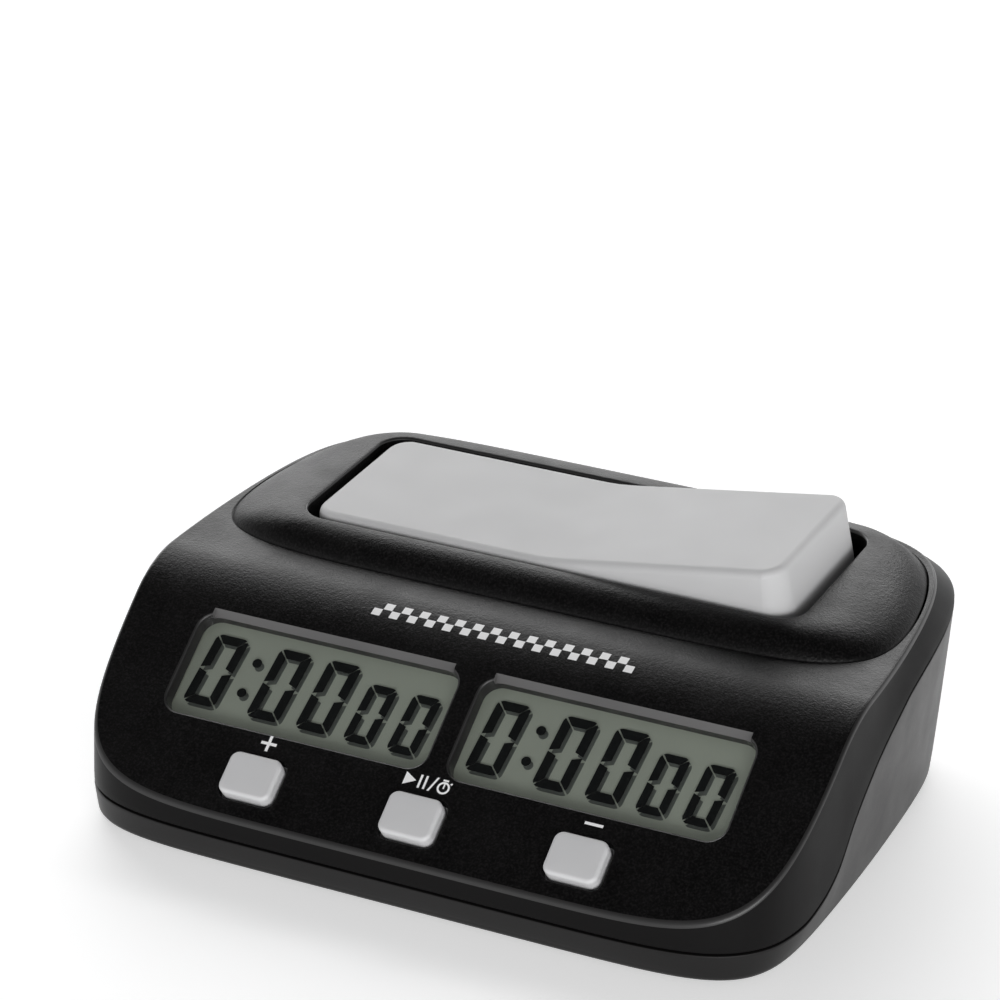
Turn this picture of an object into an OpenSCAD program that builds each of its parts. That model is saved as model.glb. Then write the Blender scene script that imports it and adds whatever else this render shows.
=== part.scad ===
/* Digital chess clock with a centre-pivoted rocker, two liquid-crystal
   displays and three keys.
   Frame: +X to the right as a player sees it, +Y to the back, +Z up.
   Origin: middle of the footprint, on the surface the feet stand on. */

/* [Case] */
// Width of the case at its widest, across the parting line
case_w = 149.8; // [148.6:0.1:152]
// Depth of the case, front to back
case_d = 116; // [115:0.2:118]
// Height of the flat top behind the sloped face
top_z = 39.3; // [39:0.1:39.6]
// Wall thickness of the two case shells
wall = 2.2; // [1.9:0.1:2.4]
// Tilt of the display face from horizontal, degrees
face_tilt = 34.6; // [34:0.1:35.2]

/* [Displays] */
// Distance from the middle of the case to the outer end of a display window
win_out = 57; // [55:0.5:57]
// Half the width of the bar between the two windows
win_in = 2.3; // [2:0.1:3]
// Height of a display window along the slope
win_h = 21.7; // [20:0.1:21.8]
// Corner radius of a display window
win_r = 3.5; // [2:0.1:4]

/* [Keys] */
// Distance between neighbouring keys
key_pitch = 33; // [32:0.5:34]
// Width of a key cap
key_w = 10.8; // [9:0.1:11]
// Length of a key cap along the slope
key_h = 8.8; // [8:0.1:9]
// Height a key stands above the face
key_rise = 2; // [1.4:0.1:2.4]
// Travel of a key
key_travel = 1.2; // [0.6:0.1:1.2]

/* [Rocker] */
// Length of the rocker bar
rocker_l = 100.8; // [98:0.2:101]
// Width of the rocker bar, front to back
rocker_w = 37.6; // [36:0.2:37.8]
// Full swing of the rocker, degrees
rocker_swing = 9.3; // [8:0.1:9.4]
// Depth of the rocker's side walls
rocker_wall_h = 12.6; // [12:0.1:12.8]
// Radius of the pivot pin
pin_r = 1.5; // [1.2:0.1:1.8]
// Running clearance of the rocker on its pin, radial
pin_play = 0.05; // [0.02:0.01:0.08]

/* [Battery] */
// Diameter of the round cell (standard AA size)
cell_d = 14.2; // [13.5:0.1:14.5]
// Length of the cell without its button
cell_l = 49; // [48:0.5:49.5]

/* [Hidden] */
$fn = 40;
e = 0.01;

// ---- shared geometry -------------------------------------------------
// reference line of the face: the lower edge of the windows
face_y0 = -42.5;
face_z0 = 22.2;
bend_y = face_y0 + (top_z - face_z0) / tan(face_tilt);
function face_z(y) = face_z0 + (y - face_y0) * tan(face_tilt);
// parting line between the shells, seen from the side, as [y, z]
seam = [[-80, 7.2], [-53, 7.1], [-45, 6.8], [-39.5, 7.1], [-33.6, 8.7], [-27.6, 12.3], [-21.2, 19.9],
        [-16, 24.5], [-10.6, 28.1], [-2.5, 31.6], [5.8, 33.9], [18, 34.8], [80, 34.8]];
// how far the parting line stands out beyond the top edge, from front to back
flare = [[-50, 0.3], [-38, 0.4], [-28, 0.8], [-18, 1.4], [-8, 1.9], [5, 2.5], [20, 3.1], [45, 3.6]];
none = [[0, 0], [1, 0]];
// rounded plan outline, a superellipse with its own front and back depth
// (bf, br) that narrows away from y1 by c over the distance d
function plan(a, bf, br, n, c, d, y1, fl, steps) = [for (i = [0:steps - 1])
    let (t = 360 * (i + 0.5) / steps, s = sin(t), k = cos(t),
         r = 1 / pow(pow(abs(k), n) + pow(abs(s), n), 1 / n), b = s > 0 ? br : bf,
         f = lookup(b * r * s, fl), y = (b + f) * r * s)
    [(a + f) * r * k * (1 - c * pow((y - y1) / d, 2)), y]];
// centre line of the well, the rocker and the raised bezel
well_y = 23.3;
well_lx = 52.1;
well_ly = 19.9;
rim_z = 43.5;
tub_floor = 28;
pivot_z = 34;
// key row, measured along the slope
key_v = -9.7;
screw_xy = [[-64.5, -38], [64.5, -38], [-61.5, 31.5], [61.5, 31.5]];
screw_top = [8, 8, 22, 22];
foot_xy = [[-54, -46.5], [54, -46.5], [-52, 38], [52, 38]];
cell_y = 1.5;
cell_z = 3.2 + 1.2 + cell_d / 2;
buzz = [50, -9];
pwr = [-52, -1];

module on_face() translate([0, face_y0, face_z0]) rotate([face_tilt, 0, 0]) children();
module slab_x(pts, w = 220) rotate([90, 0, 90]) translate([0, 0, -w / 2]) linear_extrude(w) polygon(pts);
module case_plan(g, z0, z1) translate([0, -5.1, z0]) linear_extrude(z1 - z0)
    polygon(plan(case_w / 2 - 2.15 + g, case_d / 2 - 5.4 + g, case_d / 2 + 1.4 + g, 7.3, 0.07, 54, -9.9, flare, 88));
module bezel_plan(g, z0, z1) translate([0, 24.3, z0]) linear_extrude(z1 - z0)
    polygon(plan(69.2 + g, 29.1 + g, 28.4 + g, 5.8, 0.09, 29.1, -10, none, 72));
module rrect(w, h, r) {
  square([w - 2 * r, h], center = true);
  square([w, h - 2 * r], center = true);
  for (x = [-1, 1], y = [-1, 1]) translate([x * (w / 2 - r), y * (h / 2 - r)]) circle(r);
}
module rbox(w, h, r, z0, z1) translate([0, 0, z0]) linear_extrude(z1 - z0) rrect(w, h, r);
module block(x0, x1, y0, y1, z0, z1) translate([x0, y0, z0]) cube([x1 - x0, y1 - y0, z1 - z0]);
module rod(r, z0, z1) translate([0, 0, z0]) cylinder(r = r, h = z1 - z0);
module under_face(t) slab_x([[-90, -60], [-90, face_z(-90) - t / cos(face_tilt)],
    [bend_y + t * tan(face_tilt / 2), top_z - t], [90, top_z - t], [90, -60]]);
module above_seam(d) slab_x(concat([for (p = seam) [p[0], p[1] + d]], [[80, 120], [-80, 120]]));
module below_seam(d) slab_x(concat([for (p = seam) [p[0], p[1] + d]], [[80, -50], [-80, -50]]));
// the shells lean in towards the foot and towards the top edge
module lean(g) intersection() {
  slab_x([[-57 - g, 0], [-58.4 - g, 7], [-58.4 - g, 60], [54.4 + g, 60], [54.4 + g, 39.6], [58 + g, 34.8], [46.2 + g, 0]]);
  rotate([90, 0, 0]) translate([0, 0, -90]) linear_extrude(180) polygon([[-71.9 - g, 0], [-74.9 - g, 32],
      [-74.9 - g, 34.8], [-73 - g, 39.6], [-73 - g, 60], [73 + g, 60], [73 + g, 39.6], [74.9 + g, 34.8], [74.9 + g, 32], [71.9 + g, 0]]);
}
module at_windows() for (s = [-1, 1]) translate([s * (win_in + win_out) / 2, win_h / 2, 0]) children();

// ---- case shells -------------------------------------------------------
module top_cover() color([0.035, 0.035, 0.038]) difference() {
  union() {
    // skin, with the raised bezel round the rocker, hollow underneath
    difference() {
      union() {
        intersection() { case_plan(0, 0, 60); under_face(0); above_seam(0.05); lean(0); }
        bezel_plan(0, top_z - wall, top_z + 2);
        bezel_plan(-2.5, top_z, rim_z);
      }
      intersection() { case_plan(-wall, -1, 60); under_face(wall); lean(-wall); }
      bezel_plan(-wall - 1.4, top_z - wall - 1, top_z + 1.2);
    }
    // walls and floor of the rocker well
    translate([0, well_y, 0]) rbox(2 * well_lx + 3.6, 2 * well_ly + 3.6, 6, tub_floor - 2, rim_z - 1);
    // collars that carry the window lenses
    on_face() at_windows() rbox(win_out - win_in + 2.4, win_h + 2.4, win_r + 1.2, -3.3, -wall + 0.5);
    // bosses for the main board screws
    on_face() for (x = [-49, -16.5, 16.5, 49]) translate([x, -9.7, 0]) rod(2.5, -8.9, -wall + 0.5);
    // bosses for the case screws
    for (i = [0, 1]) intersection() {
      translate(screw_xy[i]) rod(3.3, screw_top[i], 40);
      under_face(wall - 0.5);
    }
    for (i = [2, 3]) translate(screw_xy[i]) rod(3.3, screw_top[i], top_z + 1.6);
    // posts that carry the rocker switch board
    for (x = [-11, 11]) translate([x, well_y, 0]) rod(2.5, 17.2, tub_floor - 1);
  }
  // rocker well
  translate([0, well_y, 0]) difference() {
    rbox(2 * well_lx, 2 * well_ly, 5.5, tub_floor, 60);
    // the two ears that hold the pivot pin
    for (y = [-12.2, 9.2]) translate([0, y, 0]) difference() {
      union() {
        block(-4.5, 4.5, 0, 3, tub_floor - 1, pivot_z);
        translate([0, 0, pivot_z]) rotate([-90, 0, 0]) cylinder(r = 4.5, h = 3);
      }
      translate([0, -1, pivot_z]) rotate([-90, 0, 0]) cylinder(r = pin_r, h = 5);
    }
  }
  // slot that the rocker's tail passes through
  block(-4, 4, well_y - 5.2, well_y + 5.2, tub_floor - 3, tub_floor + 1);
  on_face() {
    at_windows() rbox(win_out - win_in, win_h, win_r, -10, 5);
    for (i = [-1:1]) translate([i * key_pitch, key_v, 0]) rbox(key_w + 0.4, key_h + 0.4, 1.9, -10, 5);
    for (x = [-49, -16.5, 16.5, 49]) translate([x, -9.7, 0]) rod(0.9, -10, -4);
  }
  for (i = [0:3]) translate(screw_xy[i]) rod(1.25, screw_top[i] - 1, screw_top[i] + (i < 2 ? 6 : 9));
  for (x = [-11, 11]) translate([x, well_y, 0]) rod(0.9, 16, 23);
}

module bottom_cover() color([0.06, 0.06, 0.065]) difference() {
  union() {
    difference() {
      intersection() { case_plan(0, 1, 60); under_face(0); below_seam(0); lean(0); }
      intersection() { case_plan(-wall, 1 + wall, 60); lean(-wall); }
    }
    // tongue that locates the top shell
    intersection() {
      difference() { case_plan(-wall - 0.15, 4, 60); case_plan(-wall - 1.15, 3, 61); }
      below_seam(1.4);
      above_seam(-2);
      under_face(wall + 0.4);
      lean(-wall - 0.15);
    }
    intersection() {
      difference() { case_plan(-wall + 0.3, 4, 60); case_plan(-wall - 1.15, 3, 61); }
      below_seam(-0.4);
      above_seam(-2);
      under_face(wall + 0.4);
    }
    // screw bosses
    for (i = [0:3]) translate(screw_xy[i]) rod(4.2, 2, screw_top[i]);
    // battery bay walls and the thicker floor over the door channel
    block(-34, 34, cell_y - 9.6, cell_y - 8, 2, 15);
    block(-34, 34, cell_y + 8, cell_y + 9.6, 2, 15);
    block(-34, -32.4, cell_y - 9.6, cell_y + 9.6, 2, 15);
    block(32.4, 34, cell_y - 9.6, cell_y + 9.6, 2, 15);
    block(-31, 31, cell_y + 8, cell_y + 18.6, 2, 4.2);
    // ring that holds the buzzer
    translate(buzz) rod(12, 2, 6.4);
    // frame round the power switch
    block(pwr[0] - 8.4, pwr[0] + 8.4, pwr[1] - 5, pwr[1] + 5, 2, 5);
  }
  // door opening and the channel it slides back in
  block(-26, 26, cell_y - 7.6, cell_y + 7.6, 0, 5);
  block(-28.2, 28.2, cell_y - 8.6, cell_y + 17.8, 0, 2.9);
  block(-29.2, 29.2, cell_y - 8.6, cell_y + 17.8, 1.8, 2.6);
  // buzzer seat and its sound holes
  translate(buzz) { rod(10.2, 4.2, 8); rod(8.4, 3.2, 8); }
  for (x = [-1:1], y = [-1:1]) translate([buzz[0] + 4 * x, buzz[1] + 4 * y, 0]) rod(0.8, 0, 5);
  // power switch seat and slot
  block(pwr[0] - 7.1, pwr[0] + 7.1, pwr[1] - 3.7, pwr[1] + 3.7, 3.2, 8);
  block(pwr[0] - 4.4, pwr[0] + 4.4, pwr[1] - 1.7, pwr[1] + 1.7, 0, 5);
  block(pwr[0] - 6.4, pwr[0] + 6.4, pwr[1] - 2.6, pwr[1] + 2.6, 0, 2);
  // foot recesses
  for (p = foot_xy) translate(p) rod(5.1, 0, 1.5);
  // screw holes with counterbores
  for (i = [0:3]) translate(screw_xy[i]) { rod(1.6, 0, 30); rod(3.1, 0, (i < 2 ? 4.2 : 16)); }
}

module battery_door() color([0.07, 0.07, 0.075]) difference() {
  union() {
    block(-28, 28, cell_y - 8.4, cell_y + 8.8, 1.1, 2.8);
    block(-25.8, 25.8, cell_y - 7.4, cell_y - 0.6, 2.7, 3.6);
    block(-29, 29, cell_y - 8.4, cell_y + 8.8, 1.9, 2.5);
  }
  // thumb grip
  for (i = [0:4]) block(-7, 7, cell_y + 1.6 + i * 1.4, cell_y + 2.2 + i * 1.4, 1, 1.6);
}

module rubber_feet() color([0.13, 0.13, 0.13]) for (p = foot_xy) translate(p) {
  rod(5, 0.6, 1.5);
  cylinder(r1 = 4.4, r2 = 5, h = 0.6);
}

module case_screws() color([0.6, 0.6, 0.62]) for (i = [0:3]) translate(screw_xy[i])
  let (h = i < 2 ? 4.2 : 16) difference() {
    union() { rod(2.9, h - 2, h); rod(1.2, h - 1, screw_top[i] + (i < 2 ? 5 : 8)); }
    for (a = [0, 90]) rotate([0, 0, a]) block(-2, 2, -0.35, 0.35, h - 3, h - 1);
  }

// ---- rocker --------------------------------------------------------------
// drawn level, then turned to the rest position with the right end up
module rocker_turn() translate([0, well_y, pivot_z]) rotate([0, -rocker_swing / 2, 0]) children();
function rocker_side(dz, h, lo) = let (s = tan(rocker_swing / 2))
  [[1.2 - h, dz + (h - 1.2) * s], [0, dz], [h - 1.2, dz + (h - 1.2) * s], [h, lo + h * s], [0, lo], [-h, lo + h * s]];
module rocker_slab(pts, w) rotate([90, 0, 0]) translate([0, 0, -w / 2]) linear_extrude(w) polygon(pts);
module rocker_lever() color([0.77, 0.77, 0.77]) rocker_turn() difference() {
  union() {
    difference() {
      intersection() {
        rocker_slab(rocker_side(10.2, rocker_l / 2, 10.2 - rocker_wall_h), rocker_w);
        rbox(rocker_l, rocker_w, 5, -30, 40);
      }
      intersection() {
        rocker_slab(rocker_side(8.2, rocker_l / 2 - 2, -20), rocker_w - 4);
        rbox(rocker_l - 4, rocker_w - 4, 3.4, -30, 40);
      }
    }
    // hub, web and tail
    translate([0, 9, 0]) rotate([90, 0, 0]) cylinder(r = 4, h = 18);
    block(-2, 2, -9, 9, 0, 9.4);
    block(-0.7, 0.7, -4, 4, -11.5, 0);
    translate([0, 4, -11.5]) rotate([90, 0, 0]) cylinder(r = 0.9, h = 8);
    // stiffening ribs
    for (x = [-44, -26, 26, 44]) block(x - 0.8, x + 0.8, -rocker_w / 2 + 1, rocker_w / 2 - 1, 2.4 + abs(x) * tan(rocker_swing / 2), 9 + abs(x) * tan(rocker_swing / 2));
  }
  translate([0, 10, 0]) rotate([90, 0, 0]) cylinder(r = pin_r + pin_play, h = 20);
}

module rocker_pivot_pin() color([0.72, 0.72, 0.74])
  translate([0, well_y - 12.2, pivot_z]) rotate([-90, 0, 0]) cylinder(r = pin_r, h = 24.4);

module rocker_bumpers() color([0.1, 0.1, 0.1]) for (s = [-1, 1], y = [-1, 1])
  translate([s * 46.6, well_y + y * 16, 0]) rbox(5, 5, 1, tub_floor, tub_floor + 3.4);

module rocker_switch_board() color([0.05, 0.3, 0.14]) translate([0, well_y, 0]) difference() {
  rbox(32, 16, 1, 16, 17.2);
  for (x = [-11, 11]) translate([x, 0, 0]) rod(1.1, 15, 18);
  for (x = [-2.5, 0, 2.5]) translate([x, 0, 0]) rod(0.4, 15, 18);
}

module rocker_switch_body() color([0.7, 0.7, 0.7]) translate([0, well_y, 0]) difference() {
  union() {
    rbox(8.6, 6.4, 0.4, 17.2, 20.4);
    for (x = [-2.5, 0, 2.5]) translate([x, 0, 0]) rod(0.3, 14.8, 17.3);
  }
  block(-3.4, 3.4, -1.6, 1.6, 18.4, 21);
}

// position of the rocker's tail at rest
tail_x = 11.5 * sin(rocker_swing / 2);
module rocker_switch_knob() color([0.12, 0.12, 0.12]) translate([tail_x, well_y, 0]) difference() {
  union() { block(-1.9, 1.9, -1.4, 1.4, 18.5, 20.6); block(-2.1, 2.1, -2.4, 2.4, 20.6, 24.4); }
  block(-1.0, 1.0, -5, 5, 21.2, 26);
}

module switch_board_screws() color([0.6, 0.6, 0.62]) for (x = [-11, 11]) translate([x, well_y, 0]) difference() {
  union() { rod(2, 14.6, 16); rod(0.85, 15, 22); }
  for (a = [0, 90]) rotate([0, 0, a]) block(-1.3, 1.3, -0.25, 0.25, 14, 15.2);
}

// ---- keys -----------------------------------------------------------------
module key(i) color([0.8, 0.8, 0.81]) on_face() translate([i * key_pitch, key_v, 0]) {
  rbox(key_w, key_h, 1.7, -3.3, key_rise - 0.5);
  rbox(key_w - 1, key_h - 1, 1.5, key_rise - 0.6, key_rise);
  rbox(key_w + 1.8, key_h + 1.8, 1.9, -3.4, -2.4);
  rod(2, -6.9, -3.3);
}
module button_plus() key(-1);
module button_start() key(0);
module button_minus() key(1);
module button_membrane() color([0.35, 0.35, 0.36]) on_face() translate([0, key_v, 0]) difference() {
  union() {
    rbox(2 * key_pitch + 14, 9.6, 2, -8.9, -8.2);
    for (i = [-1:1]) translate([i * key_pitch, 0, 0]) { rod(4.4, -8.3, -7.4); rod(3.5, -7.5, -6.2); }
  }
  for (i = [-1:1]) translate([i * key_pitch, 0, 0]) rod(2.5, -8.2, -5);
  for (x = [-16.5, 16.5]) translate([x, 0, 0]) rod(2.8, -10, -5);
}

// ---- displays --------------------------------------------------------------
module lens(s) color([0.8, 0.85, 0.85, 0.35]) on_face()
  translate([s * (win_in + win_out) / 2, win_h / 2, 0]) rbox(win_out - win_in + 2, win_h + 2.4, 2, -4.3, -3.3);
module display_lens_left() lens(-1);
module display_lens_right() lens(1);
module lcd(s) color([0.46, 0.48, 0.42]) on_face() translate([s * (win_in + win_out) / 2, win_h / 2, 0]) {
  rbox(win_out - win_in + 2, win_h + 1.6, 0.3, -5.6, -4.45);
  rbox(win_out - win_in + 2, win_h + 4.4, 0.3, -6.9, -5.6);
}
module lcd_left() lcd(-1);
module lcd_right() lcd(1);
module display_holder() color([0.85, 0.85, 0.83]) on_face() translate([0, win_h / 2, 0]) difference() {
  rbox(2 * win_out + 6.4, win_h + 7.6, 1, -8.9, -4.4);
  for (s = [-1, 1]) translate([s * (win_in + win_out) / 2, 0, 0])
    rbox(win_out - win_in + 2.3, win_h + 4.7, 0.4, -10, -3);
}
module zebra_strips() color([0.75, 0.45, 0.5]) on_face() for (s = [-1, 1], y = [-1, 1])
  translate([s * (win_in + win_out) / 2, win_h / 2 + y * (win_h / 2 + 0.8), 0]) rbox(50, 2, 0.4, -8.9, -6.9);

// ---- electronics ------------------------------------------------------------
module main_circuit_board() color([0.05, 0.32, 0.15]) on_face() difference() {
  translate([0, 5.3, 0]) rbox(118, 39.6, 1, -10.5, -8.9);
  for (x = [-49, -16.5, 16.5, 49]) translate([x, -9.7, 0]) rod(1.1, -12, -8);
}
module controller_chip() color([0.04, 0.04, 0.04]) on_face() translate([8, 12, 0]) {
  rod(6.5, -11.2, -10.5);
  rod(5.2, -11.8, -11.2);
}
module timing_crystal() color([0.7, 0.7, 0.72]) on_face() translate([24, 6, -11.6]) rotate([0, 90, 0]) {
  cylinder(r = 1, h = 6);
  translate([0, 0, -2]) cylinder(r = 0.3, h = 2.5);
}
module capacitors() color([0.1, 0.12, 0.3]) on_face() for (x = [-34, -26]) translate([x, 14, 0]) {
  rod(2.5, -16.5, -11.1);
  rod(2.2, -11.2, -10.8);
  for (d = [-1, 1]) translate([d, 0, 0]) rod(0.25, -10.9, -10.5);
}
module chip_resistors() color([0.12, 0.12, 0.12]) on_face() for (i = [0:5])
  translate([-12 + 3.4 * i, 3, 0]) rbox(1.6, 0.8, 0.1, -11, -10.5);
module board_screws() color([0.6, 0.6, 0.62]) on_face() for (x = [-49, -16.5, 16.5, 49]) translate([x, -9.7, 0])
  difference() {
    union() { rod(2, -11.9, -10.5); rod(0.85, -11, -5); }
    for (a = [0, 90]) rotate([0, 0, a]) block(-1.3, 1.3, -0.25, 0.25, -12.5, -11.3);
  }

// ---- power ------------------------------------------------------------------
module battery_cell() color([0.75, 0.6, 0.2]) translate([-cell_l / 2, cell_y, cell_z]) rotate([0, 90, 0]) {
  cylinder(r = cell_d / 2, h = cell_l);
  translate([0, 0, cell_l - e]) cylinder(r = 2.7, h = 1.2);
}
// conical coil, wound as stacked rings that stand for its turns
module battery_spring() color([0.75, 0.75, 0.76]) translate([-32.3, cell_y, cell_z]) rotate([0, 90, 0]) {
  translate([-6, -6, 0]) cube([12, 12, 0.5]);
  for (i = [0:3]) translate([0, 0, 0.9 + 2.1 * i]) rotate_extrude() translate([5 - 0.8 * i, 0]) circle(r = 0.5, $fn = 14);
  for (a = [0:3]) rotate([0, 0, 90 * a]) translate([4 - 0.2 * a, 0, 0.2]) cylinder(r = 0.35, h = 1.2 + 2.1 * a, $fn = 14);
}
module battery_contact() color([0.75, 0.75, 0.76]) translate([0, cell_y, 0]) {
  block(31.8, 32.3, -6, 6, 4.6, 17.5);
  translate([25.75, 0, cell_z]) rotate([0, 90, 0]) cylinder(r = 3, h = 6.1);
}
module wire(p, r) for (i = [0:len(p) - 2]) hull() {
  translate(p[i]) sphere(r = r, $fn = 10);
  translate(p[i + 1]) sphere(r = r, $fn = 10);
}
module battery_leads() color([0.7, 0.08, 0.06]) {
  wire([[-32, cell_y + 3, 18.2], [-40, -12.5, 20.6], [-44, -29.4, 17.3]], 0.6);
  wire([[32.1, cell_y, 18.2], [38, -14.5, 20.6], [40, -29.4, 17.3]], 0.6);
}
module buzzer_leads() color([0.1, 0.1, 0.1]) {
  wire([[buzz[0] - 3, buzz[1] - 1, 5.9], [45, -23, 8], [46, -37.6, 11.7]], 0.5);
  wire([[buzz[0] + 3, buzz[1] - 1, 5.9], [51, -23, 8], [51, -37.6, 11.7]], 0.5);
}
module switch_leads() color([0.6, 0.6, 0.62]) for (i = [-1:1])
  wire([[i * 3, well_y - 8.6, 16.6], [i * 3 + 4, 2.5, 21.8], [i * 3 + 4, -17.8, 25.2]], 0.5);
module power_switch_body() color([0.7, 0.7, 0.7]) translate([pwr[0], pwr[1], 0]) difference() {
  union() { rbox(14, 7.2, 0.4, 3.2, 7); for (x = [-3, 0, 3]) translate([x, 0, 0]) rod(0.4, 6.9, 10); }
  block(-4.6, 4.6, -1.8, 1.8, 3, 5.4);
}
module power_switch_knob() color([0.12, 0.12, 0.12]) translate([pwr[0], pwr[1], 0]) {
  difference() {
    block(-4.2, -0.2, -1.5, 1.5, 1.2, 5.2);
    for (i = [0:2]) block(-3.5 + 1.1 * i, -3.1 + 1.1 * i, -2, 2, 1, 1.6);
  }
}
module buzzer_disc() color([0.8, 0.65, 0.3]) translate(buzz) { rod(10, 4.2, 4.5); rod(7, 4.5, 4.8); for (s = [-1, 1]) translate([3 * s, -1, 0]) rod(0.8, 4.8, 5.3); }

top_cover();
bottom_cover();
battery_door();
rubber_feet();
rocker_lever();
rocker_pivot_pin();
rocker_bumpers();
rocker_switch_board();
rocker_switch_body();
rocker_switch_knob();
switch_board_screws();
button_plus();
button_start();
button_minus();
button_membrane();
display_lens_left();
display_lens_right();
lcd_left();
lcd_right();
display_holder();
zebra_strips();
main_circuit_board();
controller_chip();
timing_crystal();
capacitors();
chip_resistors();
board_screws();
battery_cell();
battery_spring();
battery_contact();
battery_leads();
power_switch_body();
power_switch_knob();
buzzer_disc();
buzzer_leads();
switch_leads();
case_screws();
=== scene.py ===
import math

import bmesh
import bpy
import numpy as np
from mathutils import Matrix, Quaternion, Vector


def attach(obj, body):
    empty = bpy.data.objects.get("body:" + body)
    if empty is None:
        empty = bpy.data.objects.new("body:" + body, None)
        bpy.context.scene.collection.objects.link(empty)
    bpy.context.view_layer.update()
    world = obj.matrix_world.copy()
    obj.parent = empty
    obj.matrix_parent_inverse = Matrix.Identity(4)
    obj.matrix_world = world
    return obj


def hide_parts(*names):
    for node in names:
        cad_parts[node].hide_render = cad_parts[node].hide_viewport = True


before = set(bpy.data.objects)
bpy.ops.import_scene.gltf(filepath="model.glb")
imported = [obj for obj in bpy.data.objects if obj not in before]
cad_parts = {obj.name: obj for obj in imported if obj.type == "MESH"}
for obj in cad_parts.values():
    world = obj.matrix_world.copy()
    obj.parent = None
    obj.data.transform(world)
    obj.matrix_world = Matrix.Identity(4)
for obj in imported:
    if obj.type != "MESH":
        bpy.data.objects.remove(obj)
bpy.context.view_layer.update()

MM = 0.001
SEG = 480
PI = math.pi

# ---------------------------------------------------------------- dimensions
TILT = math.radians(34.6)
FACE_Y0, FACE_Z0, TOP_Z = -42.5, 22.2, 39.3
BEND_Y = FACE_Y0 + (TOP_Z - FACE_Z0) / math.tan(TILT)
BEND_R = 24.0
WELL = (52.1, 19.9, 5.5, 23.3)
BEZEL = (69.2, 29.1, 28.4, 24.3)
RIM_Z = 43.6
TUB_FLOOR = 28.0
PIVOT = (0.0, 23.3, 34.0)
SWING = math.radians(9.3)
WIN_W, WIN_H, WIN_R = 54.7, 21.7, 3.5
WIN_C = 29.65
KEY_U, KEY_V = 33.0, -9.7
KEY_W, KEY_H = 10.8, 8.8
SEAM = np.array([[-80, 7.2], [-53, 7.1], [-45, 6.8], [-39.5, 7.1], [-33.6, 8.7], [-27.6, 12.3], [-21.2, 19.9],
                 [-16, 24.5], [-10.6, 28.1], [-2.5, 31.6], [5.8, 33.9], [18, 34.8], [80, 34.8]])
FLARE_Y = [-50, -38, -28, -18, -8, 5, 20, 45]
FLARE_G = [0.3, 0.4, 0.8, 1.4, 1.9, 2.5, 3.1, 3.6]
SCREWS = [(-64.5, -38, 8), (64.5, -38, 8), (-61.5, 31.5, 22), (61.5, 31.5, 22)]
FEET = [(-54, -46.5), (54, -46.5), (-52, 38), (52, 38)]
CELL_Y = 1.5
BUZZ = (50.0, -9.0)
PWR = (-52.0, -1.0)


def pchip(xs, ys, q):
    """Smooth curve through the points that never overshoots them."""
    h, d = np.diff(xs), np.diff(ys) / np.diff(xs)
    m = np.zeros(len(xs))
    for i in range(1, len(xs) - 1):
        if d[i - 1] * d[i] > 0:
            w1, w2 = 2 * h[i] + h[i - 1], h[i] + 2 * h[i - 1]
            m[i] = (w1 + w2) / (w1 / d[i - 1] + w2 / d[i])
    i = np.clip(np.searchsorted(xs, q) - 1, 0, len(xs) - 2)
    t = (q - xs[i]) / h[i]
    return ((1 + 2 * t) * (1 - t) ** 2 * ys[i] + t * (1 - t) ** 2 * h[i] * m[i]
            + t * t * (3 - 2 * t) * ys[i + 1] + t * t * (t - 1) * h[i] * m[i + 1])


def seam_z(y):
    return pchip(SEAM[:, 0], SEAM[:, 1], np.asarray(y, float))


def face_z(y):
    """Height of the sloped face, its soft bend and the flat behind it."""
    y = np.asarray(y, float)
    t = BEND_R * math.tan(TILT / 2)
    yc = BEND_Y + t
    line = FACE_Z0 + (y - FACE_Y0) * math.tan(TILT)
    arc = TOP_Z - BEND_R + np.sqrt(np.maximum(BEND_R ** 2 - np.minimum(y - yc, 0) ** 2, 0))
    return np.where(y < yc - BEND_R * math.sin(TILT), line, arc)


def on_surface(x, v, up):
    """Point at a distance v along the face and over its bend, lifted by up."""
    t = BEND_R * math.tan(TILT / 2)
    yc = BEND_Y + t
    v1 = (yc - BEND_R * math.sin(TILT) - FACE_Y0) / math.cos(TILT)
    a = max(TILT - max(v - v1, 0) / BEND_R, 0)
    if v < v1:
        y, z = FACE_Y0 + v * math.cos(TILT), FACE_Z0 + v * math.sin(TILT)
    elif a > 0:
        y, z = yc - BEND_R * math.sin(a), TOP_Z - BEND_R + BEND_R * math.cos(a)
    else:
        y, z = yc + v - v1 - BEND_R * TILT, TOP_Z
    return x, y - up * math.sin(a), z + up * math.cos(a)


# ---------------------------------------------------------------- outlines
ANG = 2 * PI * (np.arange(SEG) + 0.5) / SEG


def plan(a, bf, br, n, c, d, y1, cy, ang=ANG):
    """Superellipse with its own front and back depth that narrows away from y1 by c over the distance d."""
    s, k = np.sin(ang), np.cos(ang)
    r = 1 / (np.abs(k) ** n + np.abs(s) ** n) ** (1 / n)
    y = np.where(s > 0, br, bf) * r * s
    return np.stack([a * r * k * (1 - c * ((y - y1) / d) ** 2), y + cy], 1)


def case_out(g, k=1.0):
    """Outline of the case: at its widest, the parting line (k = 1), or at the top edge (k = 0)."""
    y0 = plan(72.75, 52.5, 59.2, 7.3, 0.07, 54.0, -9.9, 0.0)[:, 1]
    f = g + k * np.interp(y0, FLARE_Y, FLARE_G)
    return plan(72.75 + f, 52.5 + f, 59.2 + f, 7.3, 0.07, 54.0, -9.9, -5.1)


def bezel_out(g):
    return plan(BEZEL[0] + g, BEZEL[1] + g, BEZEL[2] + g, 5.8, 0.09, 29.1, -10.0, BEZEL[3])


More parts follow.
